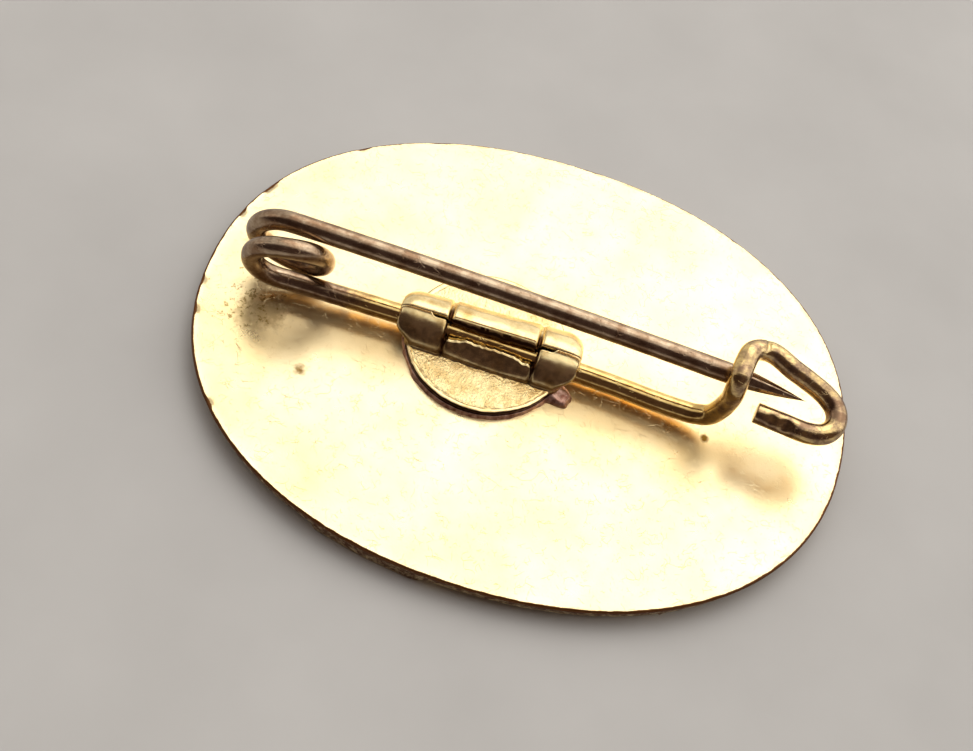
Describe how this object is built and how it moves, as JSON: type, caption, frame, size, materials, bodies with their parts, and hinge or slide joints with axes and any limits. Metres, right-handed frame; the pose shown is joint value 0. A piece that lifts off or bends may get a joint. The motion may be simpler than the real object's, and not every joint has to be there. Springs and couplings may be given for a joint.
{
  "type": "enamel pin badge",
  "caption": "Oval enamel badge, die struck in gilt brass, with a coiled safety pin held on its back by a soldered round patch.",
  "frame": {"origin": "centre of the oval, at the level of the highest relief on the front, which the badge lies on", "axes": "+X along the oval and the pin wire towards the catch, +Z out of the back, through the pin"},
  "size_m": [0.0318, 0.0252, 0.0064],
  "materials": {
    "gilt_brass": "satin gilding, worn and finely scratched",
    "patch_brass": "pressed sheet, tarnished",
    "pin_wire": "drawn wire, bronze brown tarnish",
    "soft_solder": "dull, lumpy",
    "blue_enamel": "fired and polished",
    "cream_enamel": "fired and polished",
    "red_enamel": "fired and polished",
    "green_enamel": "fired and polished"
  },
  "bodies": {
    "badge": {"badge_body": "gilt_brass", "enamel_border_1": "blue_enamel", "enamel_border_2": "blue_enamel", "enamel_field_1": "cream_enamel", "enamel_petal_1": "red_enamel", "enamel_petal_2": "red_enamel", "enamel_petal_3": "red_enamel", "enamel_petal_4": "red_enamel", "enamel_petal_5": "red_enamel", "enamel_leaf_1": "green_enamel", "enamel_leaf_2": "green_enamel", "enamel_leaf_3": "green_enamel", "enamel_leaf_4": "green_enamel", "solder_joint": "soft_solder", "patch_plate": "patch_brass", "catch_wire": "pin_wire", "spring_coil": "pin_wire"},
    "pin": {"pin_arm": "pin_wire"}
  },
  "joints": [
    {"name": "pin_opening", "type": "hinge", "parent": "badge", "child": "pin", "pos_m": [-0.01206, 0.00038, 0.00535], "axis": [0.9515, 0.128, 0.2797], "range_deg": [0, 170], "deforming": ["spring_coil"]}
  ]
}
